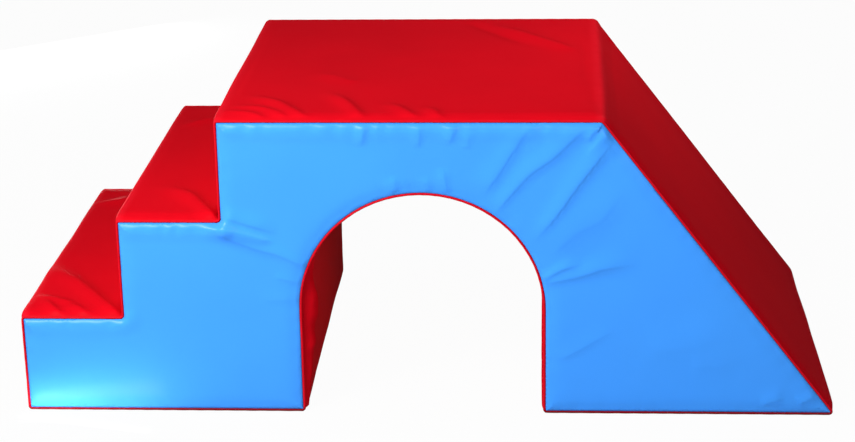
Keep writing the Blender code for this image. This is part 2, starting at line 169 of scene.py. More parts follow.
# Folds in the front cover, each from its first to its last point in the side view, x then z, with its
# steepness, which is its height over its width, and its width at both ends. Its steep side lies to the right
# of its path. One that runs into a seam has its last point beyond it.
FRONT_FOLDS = {
    "under_deck_left": (((-0.140, 0.682), (-0.129, 0.738), (-0.118, 0.780)), 0.45, 0.006, 0.009),
    "under_deck_middle": (((-0.003, 0.679), (0.000, 0.736), (0.003, 0.780)), 0.40, 0.006, 0.009),
    "under_deck_right": (((0.068, 0.687), (0.083, 0.736), (0.096, 0.780)), 0.40, 0.006, 0.009),
    "under_deck_far_right": (((0.115, 0.680), (0.115, 0.725)), 0.22, 0.007, 0.008),
    "crown_left": (((-0.059, 0.570), (-0.061, 0.618)), 0.34, 0.007, 0.009),
    "crown_middle": (((0.019, 0.570), (0.015, 0.618)), 0.22, 0.007, 0.009),
    "crown_right": (((0.063, 0.566), (0.054, 0.640)), 0.42, 0.006, 0.009),
    "shoulder_high": (((0.143, 0.556), (0.192, 0.630), (0.258, 0.740), (0.288, 0.790)), 0.40, 0.013, 0.009),
    "shoulder_long": (((0.155, 0.495), (0.250, 0.609), (0.312, 0.657), (0.397, 0.740), (0.450, 0.790)),
                      0.50, 0.007, 0.016),
    "shoulder_low": (((0.262, 0.442), (0.321, 0.515), (0.373, 0.591), (0.450, 0.694), (0.510, 0.770)),
                     0.54, 0.008, 0.016),
    "deck_corner": (((0.393, 0.694), (0.414, 0.740), (0.426, 0.770)), 0.60, 0.005, 0.007),
    "corner_ridge": (((0.450, 0.752), (0.428, 0.722), (0.376, 0.655)), 0.42, 0.010, 0.005),
    "slope_soft": (((0.305, 0.405), (0.374, 0.471), (0.433, 0.505), (0.500, 0.610)), 0.18, 0.020, 0.024),
    "right_spring_high": (((0.274, 0.340), (0.327, 0.374), (0.385, 0.394)), 0.72, 0.004, 0.009),
    "right_spring_low": (((0.270, 0.335), (0.376, 0.360), (0.434, 0.378), (0.530, 0.392)),
                         0.48, 0.004, 0.017),
    "right_leg": (((0.320, 0.136), (0.423, 0.198), (0.480, 0.230)), 0.20, 0.007, 0.010),
    "slope_low": (((0.521, 0.160), (0.629, 0.169), (0.701, 0.190), (0.772, 0.209)), 0.09, 0.020, 0.022),
    "slope_foot": (((0.640, 0.122), (0.770, 0.126)), 0.08, 0.018, 0.020),
    "toe_first": (((0.816, 0.025), (0.880, 0.048)), 0.30, 0.009, 0.012),
    "toe_second": (((0.905, 0.026), (0.965, 0.062)), 0.36, 0.008, 0.010),
    "left_shoulder_long": (
        ((-0.530, 0.480), (-0.412, 0.430), (-0.352, 0.412), (-0.294, 0.385), (-0.190, 0.335)),
        0.50, 0.013, 0.004),
    "left_shoulder_high": (((-0.488, 0.515), (-0.430, 0.492), (-0.345, 0.466)), 0.54, 0.009, 0.011),
    "corner_lobe": (((-0.350, 0.448), (-0.430, 0.475), (-0.488, 0.492), (-0.540, 0.504)), 1.00, 0.004, 0.014),
    "corner_pinch": (((-0.496, 0.500), (-0.470, 0.452)), 0.50, 0.006, 0.007),
    "left_spring_high": (((-0.366, 0.356), (-0.306, 0.340), (-0.260, 0.328)), 0.30, 0.006, 0.005),
    "left_spring_low": (((-0.400, 0.294), (-0.308, 0.294), (-0.250, 0.294)), 0.16, 0.008, 0.006),
}
# The back cover isn't seen: fewer folds of the same kind
BACK_FOLDS = {
    "shoulder_long": (((0.175, 0.500), (0.285, 0.640), (0.335, 0.722), (0.370, 0.790)), 0.48, 0.007, 0.015),
    "shoulder_low": (((0.270, 0.438), (0.370, 0.560), (0.410, 0.680), (0.440, 0.770)), 0.50, 0.008, 0.015),
    "under_deck": (((-0.060, 0.672), (-0.050, 0.735), (-0.043, 0.780)), 0.42, 0.007, 0.009),
    "crown": (((0.021, 0.566), (0.012, 0.630)), 0.38, 0.007, 0.009),
    "left_shoulder": (((-0.500, 0.474), (-0.400, 0.445), (-0.296, 0.395), (-0.200, 0.350)),
                      0.48, 0.012, 0.005),
    "right_spring": (((0.276, 0.320), (0.390, 0.352), (0.490, 0.354)), 0.46, 0.005, 0.016),
    "left_spring": (((-0.410, 0.300), (-0.304, 0.310)), 0.22, 0.008, 0.007),
    "slope_low": (((0.590, 0.130), (0.780, 0.190)), 0.10, 0.020, 0.022),
}
# Folds in the deck and the treads, x then y. One of negative steepness is a groove. The deck's cover stands a
# little proud along the whole edge where it turns down the slope, and lies hollow below it.
DECK_FOLDS = {
    "front_left": (((-0.250, -0.520), (-0.312, -0.429), (-0.353, -0.368), (-0.440, -0.285)),
                   0.60, 0.010, 0.015),
    "front_middle": (((-0.126, -0.520), (-0.171, -0.395), (-0.240, -0.260)), 0.66, 0.010, 0.015),
    "front_right": (((0.006, -0.520), (-0.065, -0.396), (-0.090, -0.360)), 0.58, 0.010, 0.014),
    "front_far": (((0.060, -0.520), (0.026, -0.430), (0.010, -0.395)), 0.54, 0.009, 0.012),
    "back_groove": (((0.062, 0.447), (0.159, 0.304), (0.275, 0.125)), -0.34, 0.015, 0.017),
    "back_ridge": (((0.385, 0.112), (0.248, 0.292), (0.130, 0.450)), 0.50, 0.018, 0.016),
    "middle": (((-0.165, -0.200), (-0.290, -0.070)), 0.22, 0.018, 0.022),
    "corner_first": (((-0.300, -0.525), (-0.345, -0.455), (-0.400, -0.412), (-0.480, -0.390)),
                     0.64, 0.007, 0.010),
    "corner_second": (((-0.350, -0.525), (-0.390, -0.472), (-0.440, -0.448), (-0.500, -0.435)),
                      0.56, 0.006, 0.008),
    "slope_edge": (((DECK_END_X + 0.010, -0.560), (DECK_END_X + 0.010, 0.800)), 0.40, 0.012, 0.012),
    "slope_hollow": (((DECK_END_X + 0.036, 0.800), (DECK_END_X + 0.032, 0.100), (DECK_END_X + 0.026, -0.560)),
                     -0.34, 0.020, 0.014),
}
UPPER_TREAD_FOLDS = {
    "front_corner": (((-0.480, -0.525), (-0.541, -0.402), (-0.583, -0.325), (-0.670, -0.230)),
                     0.60, 0.010, 0.020),
    "back": (((-0.600, 0.385), (-0.720, 0.272)), 0.44, 0.014, 0.017),
}
LOWER_TREAD_FOLDS = {
    "front_corner": (((-0.725, -0.525), (-0.803, -0.409), (-0.866, -0.313), (-1.000, -0.130)),
                     0.62, 0.010, 0.022),
    "front_left": (((-0.868, -0.520), (-0.907, -0.471), (-0.965, -0.384)), 0.70, 0.008, 0.012),
    "front_middle": (((-0.800, -0.520), (-0.870, -0.440), (-0.890, -0.416)), 0.70, 0.008, 0.011),
    "front_edge": (((-0.866, -0.433), (-0.985, -0.366)), 0.54, 0.010, 0.012),
    "back": (((-0.880, 0.405), (-0.985, 0.338)), 0.42, 0.015, 0.017),
}
# Folds on the left wall of the tunnel, y then z: the lining stands full behind its front seam and crumples
LINING_FOLDS = {
    "front_bulge_high": (
        ((-0.479, 0.555), (-0.476, 0.500), (-0.474, 0.400), (-0.475, 0.280), (-0.476, 0.160)),
        2.20, 0.010, 0.011),
    "front_bulge_low": (((-0.474, 0.370), (-0.475, 0.280), (-0.478, 0.150), (-0.484, -0.050)),
                        2.20, 0.011, 0.006),
    "wrinkle_top": (((-0.500, 0.440), (-0.425, 0.500)), 0.75, 0.009, 0.011),
    "wrinkle_high": (((-0.500, 0.350), (-0.420, 0.410)), 0.75, 0.009, 0.012),
    "wrinkle_middle": (((-0.425, 0.300), (-0.500, 0.225)), 0.80, 0.010, 0.009),
    "wrinkle_low": (((-0.500, 0.145), (-0.410, 0.215)), 0.75, 0.009, 0.011),
}
# Shape of a fold, in its own widths: its soft side on the sides and on the strips, its hollow side, and how
# far its crest lies to the left. Then how sharply the hollow side falls, and the shares of its length over
# which the fold starts and dies out.
SIDE_LEAN = 2.4
STRIP_LEAN = 1.8
HOLLOW_LEAN = 1.2
CREST_SHIFT = 0.5
HOLLOW_POWER = 1.5
FOLD_START = 0.2
FOLD_END = 0.45

# Gathers along a cover's sewn edges: their height, the length of one and how far they reach in. Then how far
# one may drift along the edge, as a share of its length.
SIDE_GATHERS = (0.0034, 0.050, 0.022)
DECK_GATHERS = (0.0012, 0.090, 0.050)
TREAD_GATHERS = (0.0014, 0.055, 0.040)
LINING_GATHERS = (0.0030, 0.070, 0.050)
GATHER_DRIFT = 0.8

# Slow unevenness of a cover over its foam: its height and the length of one swell
SIDE_SWAY = (0.0012, 0.16)
STRIP_SWAY = (0.0018, 0.20)

# Camera, fitted to the corners of the block in the photo
PHOTO_WIDTH = 855
SENSOR = 36.0
FOCAL_PIXELS = 2115.21
CAMERA_PLACE = (0.3021, -5.2550, 2.1570)
CAMERA_YAW = math.radians(-3.498)
CAMERA_PITCH = math.radians(19.178)
CAMERA_ROLL = math.radians(-1.026)

# Side view


def neighbours(name):
    """Unit directions of the side view's edges into and out of a corner."""
    names = list(CORNERS)
    at = names.index(name)
    here = Vector(CORNERS[name][0])
    before = Vector(CORNERS[names[at - 1]][0])
    after = Vector(CORNERS[names[(at + 1) % len(names)]][0])
    into = Vector((0, -1)) if name == "slope_heel" else (here - before).normalized()
    out_of = Vector((0, 1)) if name == "step_heel" else (after - here).normalized()
    return into, out_of


def fillet(name, inset, start=0.0, end=1.0):
    """Points round one corner of the side view, inset into the block, over a share of its arc."""
    into, out_of = neighbours(name)
    sharp, radius = CORNERS[name]
    left_in, left_out = Vector((-into.y, into.x)), Vector((-out_of.y, out_of.x))
    corner = Vector(sharp) + (left_in + left_out) * (inset / (1 + left_in.dot(left_out)))
    turn = math.atan2(into.x * out_of.y - into.y * out_of.x, into.dot(out_of))
    side = math.copysign(1, turn)
    radius = max(radius - side * inset, COVER)
    centre = corner - into * radius * math.tan(abs(turn) / 2) + left_in * side * radius
    first = math.atan2(-left_in.y * side, -left_in.x * side)
    shares = [start + (end - start) * i / FILLET_STEPS for i in range(FILLET_STEPS + 1)]
    angles = [first + turn * share for share in shares]
    return np.array([centre + radius * Vector((math.cos(a), math.sin(a))) for a in angles])


def tunnel_arc(inset):
    radius = TUNNEL_RADIUS + inset
    angles = np.pi * (1 - np.arange(ARC_STEPS + 1) / ARC_STEPS)
    return np.stack([TUNNEL_X + radius * np.cos(angles), TUNNEL_LEG + radius * np.sin(angles)], axis=1)


def outline(inset):
    """All points round the block's side view, inset into the block."""
    arcs = []
    for name in CORNERS:
        arcs.append(fillet(name, inset))
        if name == "step_heel":
            arcs.append(tunnel_arc(inset))
    return np.vstack(arcs)


def spaced(path, gap, closed=False):
    """The same path, with points added where two of them are further apart than the gap."""
    ends = np.roll(path, -1, axis=0) if closed else path[1:]
    made = []
    for start, end in zip(path, ends):
        steps = max(1, math.ceil(np.linalg.norm(end - start) / gap))
        made += [start + (end - start) * k / steps for k in range(steps)]
    return np.array(made if closed else made + [path[-1]])


def nearest(points, path):
    """Each point's offset from the nearest place on a path, the path's heading there, and how far along."""
    least = np.full(len(points), np.inf)
    offset, heading, along = np.zeros_like(points), np.zeros_like(points), np.zeros(len(points))
    before = 0.0
    for start, end in zip(path[:-1], path[1:]):
        step = end - start
        length = np.linalg.norm(step)
        if length == 0:
            continue
        share = np.clip((points - start) @ step / length ** 2, 0, 1)
        away = points - start - share[:, None] * step
        gap = np.einsum("ij,ij->i", away, away)
        closer = gap < least
        least[closer], offset[closer] = gap[closer], away[closer]
        heading[closer], along[closer] = step / length, before + share[closer] * length
        before += length
    return offset, heading, along


def inside(points, ring):
    """Which points lie inside a closed ring."""
    found = np.zeros(len(points), bool)
    for (ax, az), (bx, bz) in zip(ring, np.roll(ring, -1, axis=0)):
        if az != bz:
            spans = (az > points[:, 1]) != (bz > points[:, 1])
            found ^= spans & (points[:, 0] < ax + (points[:, 1] - az) * (bx - ax) / (bz - az))
    return found


def ease(share):
    """Goes smoothly from 0 to 1 as share does."""
    share = np.clip(share, 0, 1)
    return share * share * (3 - 2 * share)


def roll_edges():
    """Distances from the block's edge at which the cover's draw to a piped seam is drawn, seam first."""
    angles = np.pi / 2 * (1 - np.arange(ROLL_STEPS + 1) / ROLL_STEPS)
    return (FLAT_INSET - ROLL_WIDTH * np.sin(angles)).tolist()


def drawn_in(edge):
    """How deep the cover is drawn in at a distance from the block's edge."""
    share = np.clip((FLAT_INSET - edge) / ROLL_WIDTH, 0, 1)
    return ROLL_DEPTH * (1 - np.sqrt(1 - share ** 2))


# Meshes


def mesh_object(name, points, faces):
    mesh = bpy.data.meshes.new(name)
    mesh.from_pydata([tuple(p) for p in points], [], [tuple(f) for f in faces])
    obj = bpy.data.objects.new(name, mesh)
    bpy.context.scene.collection.objects.link(obj)
    return obj


def pick(obj):
    """Makes one object the only selected and active one."""
    bpy.ops.object.select_all(action="DESELECT")
    obj.select_set(True)
    bpy.context.view_layer.objects.active = obj


def places(obj):
    found = np.zeros(len(obj.data.vertices) * 3)
    obj.data.vertices.foreach_get("co", found)
    return found.reshape(-1, 3)


def put(obj, points):
    obj.data.vertices.foreach_set("co", np.ascontiguousarray(points).ravel())
    obj.data.update()


def keep_numbers(obj, name, values):
    """Keeps a number or a vector for each vertex as an attribute of the mesh."""
    vector = np.ndim(values) == 2
    attribute = obj.data.attributes.new(name, "FLOAT_VECTOR" if vector else "FLOAT", "POINT")
    attribute.data.foreach_set("vector" if vector else "value", np.ascontiguousarray(values).ravel())


def kept_numbers(obj, name):
    attribute = obj.data.attributes[name]
    vector = attribute.data_type == "FLOAT_VECTOR"
    values = np.zeros(len(obj.data.vertices) * (3 if vector else 1))
    attribute.data.foreach_get("vector" if vector else "value", values)
    return values.reshape(-1, 3) if vector else values


def apply_modifier(obj, kind, **settings):
    pick(obj)
    modifier = obj.modifiers.new(kind.title(), kind)
    for name, value in settings.items():
        setattr(modifier, name, value)
    bpy.ops.object.modifier_apply(modifier=modifier.name)


# Covers


def off_floor(outward):
    """1 where a cover may stand proud of its foam, and 0 where it lies on the floor."""
    return 1 - ease(-outward[:, 2] / FLOOR_FACING)


def slack(share):
    """How much of its fullness a cover keeps by a seam: all at a share of 1, and little at 0 and below."""
    return TIGHT_SHARE + (1 - TIGHT_SHARE) * ease(share)


def swell(obj):
    """Cloth simulation: air pressure swells the cover off its foam while its sewn edges are held."""
    rest, outward = places(obj), kept_numbers(obj, "outward")
    sewn = obj.vertex_groups.new(name="sewn")
    held = np.nonzero(kept_numbers(obj, "edge") < SEAM_INSET + CLEARANCE)[0]
    sewn.add(held.tolist(), 1.0, "REPLACE")
    pick(obj)
    cloth = obj.modifiers.new("Cloth", "CLOTH")
    cloth.settings.vertex_group_mass = sewn.name
    cloth.settings.use_pressure = True
    cloth.settings.uniform_pressure_force = AIR_PRESSURE
    cloth.settings.effector_weights.gravity = 0
    cloth.collision_settings.use_collision = False
    scene = bpy.context.scene
    cloth.point_cache.frame_start, cloth.point_cache.frame_end = 1, SWELL_FRAMES
    for step in range(1, SWELL_FRAMES + 1):
        scene.frame_set(step)
    bpy.ops.object.modifier_apply(modifier=cloth.name)
    scene.frame_set(1)
    # The foam stops the cover from moving inwards, and the seams stop it from moving far outwards
    moved = np.maximum(np.einsum("ij,ij->i", places(obj) - rest, outward), 0)
    moved = SWELL * np.tanh(moved / SWELL) * off_floor(outward)
    put(obj, rest + outward * moved[:, None])
    obj.vertex_groups.clear()


def subdivide(obj):
    pick(obj)
    bpy.ops.object.mode_set(mode="EDIT")
    bpy.ops.mesh.select_all(action="SELECT")
    bpy.ops.mesh.subdivide(number_cuts=1)
    bpy.ops.object.mode_set(mode="OBJECT")


def curve_through(points):
    """A smooth dense path through a few points."""
    ends = np.vstack([2 * points[0] - points[1], points, 2 * points[-1] - points[-2]])
    share = np.linspace(0, 1, CURVE_STEPS + 1)[:-1, None]
    made = []
    for a, b, c, d in zip(ends, ends[1:], ends[2:], ends[3:]):
        cubic = (2 * b + (c - a) * share + (2 * a - 5 * b + 4 * c - d) * share ** 2
                 + (3 * b - a - 3 * c + d) * share ** 3)
        made.append(cubic / 2)
    return np.vstack(made + [points[-1:]])


def fold_profile(across, lean):
    """Height of a fold across its path: a narrow crest, soft to its left and hollow to its right."""
    crest = across - CREST_SHIFT
    soft = np.exp(-(crest / lean) ** 2)
    hollow = np.exp(-np.abs(crest / HOLLOW_LEAN) ** HOLLOW_POWER)
    return np.where(crest > 0, soft, hollow)


def fold_heights(points, outward, folds, place, lean):
    """What the listed folds add to the cover's height. Each starts quickly and dies out slowly."""
    height = np.zeros(len(points))
    for path, steepness, first, last in folds.values():
        path = curve_through(np.array([place(*p) for p in path], float))
        length = np.linalg.norm(np.diff(path, axis=0), axis=1).sum()
        offset, heading, along = nearest(points, path)
        left = np.einsum("ij,ij->i", offset, np.cross(outward, heading))
        gap = np.linalg.norm(offset, axis=1)
        width = first + (last - first) * along / length
        taper = ease(along / length / FOLD_START) * ease((1 - along / length) / FOLD_END)
        taper *= np.exp(-np.maximum(gap - np.abs(left), 0) / width)
        height += steepness * width * taper * fold_profile(np.copysign(gap, left) / width, lean)
    return height


def gather_heights(edge, along, height, length, reach):
    """Small gathers along a sewn edge, uneven in length and depth, which die out away from it."""
    drift = np.array([noise.noise((a / length / 3, 0.0, 7.0)) for a in along])
    depth = np.array([0.5 + noise.noise((a / length / 2, 3.0, 0.0)) for a in along])
    wave = np.sin(2 * np.pi * (along / length + GATHER_DRIFT * drift))
    return height * np.clip(depth, 0, 1) * wave * np.exp(-(edge - SEAM_INSET) / reach)


def sway_heights(points, height, length):
    """Slow unevenness of cloth over foam."""
    return height * np.array([noise.noise(p / length) for p in points])


def dress(obj, folds, place, lean, fullness, gathers, sway):
    """Subdivides a swollen cover, lays its folds and gathers into it, and gives the cloth its thickness."""
    subdivide(obj)
    points, outward = places(obj), kept_numbers(obj, "outward")
    edge, along, loose = (kept_numbers(obj, name) for name in ("edge", "along", "loose"))
    height = fold_heights(points, outward, folds, place, lean)
    height += loose * gather_heights(edge, along, *gathers)
    height += sway_heights(points, *sway)
    height *= ease((edge - SEAM_INSET) / SEAM_RAMP)
    height += loose * fullness * (1 - np.exp(-(edge - SEAM_INSET) / FULL_REACH))
    put(obj, points + outward * (height * off_floor(outward))[:, None])
    obj.data.shade_smooth()
    apply_modifier(obj, "SOLIDIFY", thickness=COVER, offset=-1)


def staggered_grid(low, high, gap):
    """Points in staggered rows over a box of the side view."""
    row_gap = gap * math.sqrt(3) / 2
    rows = int((high[1] - low[1]) / row_gap)
    return np.array([(x + gap / 2 * (row % 2), low[1] + row * row_gap)
                     for row in range(rows + 1) for x in np.arange(low[0], high[0], gap)])


def beside_folds(points, folds):
    """Which points lie so close to a fold that the cover needs a finer mesh there."""
    close = np.zeros(len(points), bool)
    for path, _, *widths in folds.values():
        offset = nearest(points, curve_through(np.array(path, float)))[0]
        close |= np.linalg.norm(offset, axis=1) < FOLD_REACH * max(widths)
    return close


def below_top(points):
    """How far each point of the side view lies from the nearest level top edge."""
    edges = [((LEFT, STEP_RISE), (LOWER_RISER_X, STEP_RISE)),
             ((LOWER_RISER_X, 2 * STEP_RISE), (UPPER_RISER_X, 2 * STEP_RISE)),
             ((UPPER_RISER_X, HEIGHT), (DECK_END_X, HEIGHT))]
    gaps = [np.linalg.norm(nearest(points, np.array(edge))[0], axis=1) for edge in edges]
    return np.min(gaps, axis=0)


def side_cut(folds):
    """The flat cut of a side cover: points in the side view, triangles between them, and how far each point
    lies from the edge and along it."""
    rings = [spaced(outline(edge), RING_GAP, closed=True) for edge in roll_edges()]
    low, high = rings[0].min(axis=0), rings[0].max(axis=0)
    coarse, fine = staggered_grid(low, high, SIDE_GAP), staggered_grid(low, high, SIDE_GAP / 2)
    grid = np.vstack([coarse[~beside_folds(coarse, folds)], fine[beside_folds(fine, folds)]])
    border = outline(0)
    closed = np.vstack([border, border[:1]])
    gap = np.linalg.norm(nearest(grid, closed)[0], axis=1)
    grid = grid[inside(grid, border) & (gap > FLAT_INSET + SIDE_GAP / 3)]
    points = [Vector(p) for p in np.vstack(rings + [grid])]
    sewn_ring = list(range(len(rings[0])))
    points, _, faces, *_ = geometry.delaunay_2d_cdt(points, [], [sewn_ring], 1, 1e-6)
    points = np.array(points)
    offset, _, along = nearest(points, closed)
    return points, faces, np.linalg.norm(offset, axis=1), along


def side_cover(name, side, folds):
    """One side of the block in a single cut, with its edges drawn in to the piping."""
    flat, faces, edge, along = side_cut(folds)
    points = np.stack([flat[:, 0], side * (WIDTH / 2 - drawn_in(edge)), flat[:, 1]], axis=1)
    obj = mesh_object(name, points, faces if side < 0 else [face[::-1] for face in faces])
    keep_numbers(obj, "outward", np.tile((0.0, side, 0.0), (len(points), 1)))
    keep_numbers(obj, "edge", edge)
    keep_numbers(obj, "along", along)
    keep_numbers(obj, "loose", slack(1 - below_top(flat) / LOOSE_REACH))
    swell(obj)
    dress(obj, folds, lambda x, z: (x, side * WIDTH / 2, z), SIDE_LEAN,
          SIDE_FULLNESS, SIDE_GATHERS, SIDE_SWAY)
    return obj


def cross_stations(gap):
    """Places across the block, from front to back, close together where a cover is drawn in."""
    seam = np.array(roll_edges())
    steps = math.ceil((WIDTH - 2 * FLAT_INSET) / gap)
    middle = np.linspace(FLAT_INSET, WIDTH - FLAT_INSET, steps + 1)[1:-1]
    return np.concatenate([seam, middle, WIDTH - seam[::-1]]) - WIDTH / 2


def grid_faces(rows, columns):
    return [(i * columns + k, i * columns + k + 1, (i + 1) * columns + k + 1, (i + 1) * columns + k)
            for i in range(rows - 1) for k in range(columns - 1)]


def strip_cover(name, path, gap, folds, place, fullness, gathers):
    """A band of cover along part of the side view, with both its sides drawn in to the piping."""
    path = spaced(path, gap)
    heading = np.gradient(path, axis=0)
    heading /= np.linalg.norm(heading, axis=1)[:, None]
    outward = np.stack([heading[:, 1], -heading[:, 0]], axis=1)
    along = path_lengths(path)
    turning = np.gradient(np.unwrap(np.arctan2(heading[:, 1], heading[:, 0])), along)
    stations = cross_stations(gap)
    edge_across = WIDTH / 2 - np.abs(stations)
    depth = drawn_in(edge_across)
    rows, columns = len(path), len(stations)
    points = np.zeros((rows, columns, 3))
    points[:, :, [0, 2]] = path[:, None, :] - outward[:, None, :] * depth[None, :, None]
    points[:, :, 1] = stations
    obj = mesh_object(name, points.reshape(-1, 3), grid_faces(rows, columns))
    out = np.zeros((rows, columns, 3))
    out[:, :, [0, 2]] = outward[:, None, :]
    end = SEAM_INSET + np.minimum(along, along[-1] - along)
    keep_numbers(obj, "outward", out.reshape(-1, 3))
    keep_numbers(obj, "edge", np.minimum(end[:, None], edge_across[None, :]).ravel())
    keep_numbers(obj, "along", np.repeat(along, columns))
    keep_numbers(obj, "bend", np.repeat(np.clip(turning * EDGE_RADIUS, 0, 1), columns))
    loose = slack(outward[:, 1])[:, None] * slack(0.5 - stations / WIDTH)[None, :]
    keep_numbers(obj, "loose", loose.ravel())
    swell(obj)
    dress(obj, folds, place, STRIP_LEAN, fullness, gathers, STRIP_SWAY)
    return obj


def on_level(z):
    """Gives a place on a level part of a cover from its x and y."""
    return lambda x, y: (x, y, z)


def on_deck(x, y):
    """A place on the deck, or on the slope beyond its edge."""
    return x, y, HEIGHT - max(x - DECK_END_X, 0) * HEIGHT / SLOPE_RUN


def on_left_wall(y, z):
    """A place on the tunnel's left wall or on the arch above it."""
    return TUNNEL_X - math.sqrt(TUNNEL_RADIUS ** 2 - max(z - TUNNEL_LEG, 0) ** 2), y, z


def path_lengths(path):
    """How far along a path each of its points lies."""
    return np.concatenate([[0], np.cumsum(np.linalg.norm(np.diff(path, axis=0), axis=1))])


# Where each band of cover runs in the side view
SEAM_HALF = CLEARANCE / 2 / (INNER_CORNER_RADIUS * math.pi / 2)
LOWER_STEP_PATH = np.vstack([
    fillet("lower_corner", 0, 0.5 + SEAM_HALF, 1), fillet("lower_nose", 0), fillet("step_toe", 0),
    [(STEP_TOE_SEAM_X, 0)]])
UPPER_STEP_PATH = np.vstack([
    fillet("upper_corner", 0, 0.5 + SEAM_HALF, 1), fillet("upper_nose", 0),
    fillet("lower_corner", 0, 0, 0.5 - SEAM_HALF)])
DECK_PATH = np.vstack([
    [(SLOPE_TOE_SEAM_X, 0)], fillet("slope_toe", 0), fillet("deck_edge", 0), fillet("deck_nose", 0),
    fillet("upper_corner", 0, 0, 0.5 - SEAM_HALF)])
LINING_PATH = np.vstack([
    [(STEP_HEEL_SEAM_X, 0)], fillet("step_heel", 0), tunnel_arc(0), fillet("slope_heel", 0),
    [(SLOPE_HEEL_SEAM_X, 0)]])

front_cover = side_cover("front_side_cloth", -1, FRONT_FOLDS)
back_cover = side_cover("back_side_cloth", 1, BACK_FOLDS)
deck_cover = strip_cover("deck_and_slope_cloth", DECK_PATH, DECK_GAP, DECK_FOLDS, on_deck,
                         DECK_FULLNESS, DECK_GATHERS)
upper_step = strip_cover("upper_step_cloth", UPPER_STEP_PATH, TREAD_GAP, UPPER_TREAD_FOLDS,
                         on_level(2 * STEP_RISE), TREAD_FULLNESS, TREAD_GATHERS)
lower_step = strip_cover("lower_step_cloth", LOWER_STEP_PATH, TREAD_GAP, LOWER_TREAD_FOLDS,
                         on_level(STEP_RISE), TREAD_FULLNESS, TREAD_GATHERS)
lining = strip_cover("tunnel_lining_cloth", LINING_PATH, DECK_GAP, LINING_FOLDS, on_left_wall,
                     LINING_FULLNESS, LINING_GATHERS)
STRIPS = {
    "deck_and_slope_cover": (deck_cover, DECK_PATH, ["deck_slab", "upper_slope_slab", "lower_slope_slab"]),
    "upper_step_cover": (upper_step, UPPER_STEP_PATH, ["upper_step_slab"]),
    "lower_step_cover": (lower_step, LOWER_STEP_PATH, ["lower_step_slab"]),
    "tunnel_lining": (lining, LINING_PATH, ["deck_slab", "lower_step_slab", "upper_step_slab",
                                            "lower_slope_slab", "upper_slope_slab"]),
}


# Piping


def cord(name, path, shares, radius, fineness, closed):
    """A round cord through points, with a share of its full radius at each."""
    curve = bpy.data.curves.new(name, "CURVE")
    curve.dimensions = "3D"
    curve.bevel_depth = radius
    curve.bevel_resolution = fineness
    curve.use_fill_caps = not closed
    spline = curve.splines.new("POLY")
    spline.points.add(len(path) - 1)
    for point, place, share in zip(spline.points, path, shares):
        point.co = (*place, 1)
        point.radius = share
    spline.use_cyclic_u = closed
    obj = bpy.data.objects.new(name, curve)
    bpy.context.scene.collection.objects.link(obj)
    pick(obj)
    bpy.ops.object.convert(target="MESH")
    bpy.context.object.data.shade_smooth()
    return bpy.context.object


def piping_cord(name, side):
    """One closed cord of piping round a side cover, a little uneven where the stitches pull at it."""
    path = []
    for x, z in spaced(outline(PIPING_INSET), RING_GAP, closed=True):
        u, v = x / PIPING_PULL_LENGTH, z / PIPING_PULL_LENGTH
        pull = PIPING_PULL * Vector((noise.noise((u, v, side)), noise.noise((u, 5.0, v))))
        path.append((x + pull.x, side * (WIDTH / 2 - PIPING_INSET + pull.y), z))
    shares = [1 + PIPING_UNEVEN * math.sin(index * PIPING_UNEVEN_STEP) for index in range(len(path))]
    return cord(name, path, shares, PIPING_RADIUS, fineness=3, closed=True)


front_cord = piping_cord("front_piping_cord", -1)
back_cord = piping_cord("back_piping_cord", 1)


# Foam


def foam_slab(name, layer, ends, zip_x):
    """One glued slab of the core, one step high, cut from the whole side view between two places."""
    half = WIDTH / 2 - FOAM_GAP
    ring = outline(FOAM_GAP)
    slab = mesh_object(name, [(x, -half, z) for x, z in ring], [range(len(ring))])
    pick(slab)
    bpy.ops.object.mode_set(mode="EDIT")
    bpy.ops.mesh.select_all(action="SELECT")
    bpy.ops.mesh.extrude_region_move(TRANSFORM_OT_translate={"value": (0, 2 * half, 0)})
    bpy.ops.mesh.select_all(action="SELECT")
    bpy.ops.mesh.normals_make_consistent(inside=False)
    cuts = [((0, 0, layer * STEP_RISE + CLEARANCE), (0, 0, -1)),
            ((0, 0, (layer + 1) * STEP_RISE - CLEARANCE), (0, 0, 1)),
            ((ends[0] + CLEARANCE, 0, 0), (-1, 0, 0)), ((ends[1] - CLEARANCE, 0, 0), (1, 0, 0))]
    for place, away in cuts:
        bpy.ops.mesh.select_all(action="SELECT")
        bpy.ops.mesh.bisect(plane_co=place, plane_no=away, use_fill=True, clear_outer=True)
    bpy.ops.object.mode_set(mode="OBJECT")
    if zip_x is not None:
        groove_half = ZIP_SLOT / 2 + HEM_WIDTH + 2 * CLEARANCE
        bpy.ops.object.select_all(action="DESELECT")
        bpy.ops.mesh.primitive_cube_add(size=1, location=(zip_x, 0, GROOVE_TOP - STEP_RISE / 2),
                                        scale=(2 * groove_half, 2 * WIDTH, STEP_RISE))
        groove = bpy.context.object
        apply_modifier(slab, "BOOLEAN", operation="DIFFERENCE", object=groove, solver="EXACT")
        bpy.data.objects.remove(groove)
    apply_modifier(slab, "BEVEL", width=FOAM_ROUNDING, segments=2, limit_method="ANGLE")
    slab.data.shade_smooth()
    return slab


# Each slab's layer, counted from the floor, the places it is cut between, and the zip it has a groove for
FOAM_CUTS = {
    "lower_step": (0, (-LENGTH, TUNNEL_X), STEP_ZIP_X),
    "upper_step": (1, (-LENGTH, TUNNEL_X), None),
    "deck": (2, (-LENGTH, LENGTH), None),
    "upper_slope": (1, (TUNNEL_X, LENGTH), None),
    "lower_slope": (0, (TUNNEL_X, LENGTH), SLOPE_ZIP_X),
}
FOAM_SLABS = {f"{part}_slab": (foam_slab(f"{part}_slab", *cut), f"{part}_foam")
              for part, cut in FOAM_CUTS.items()}


# Base cloth and zips


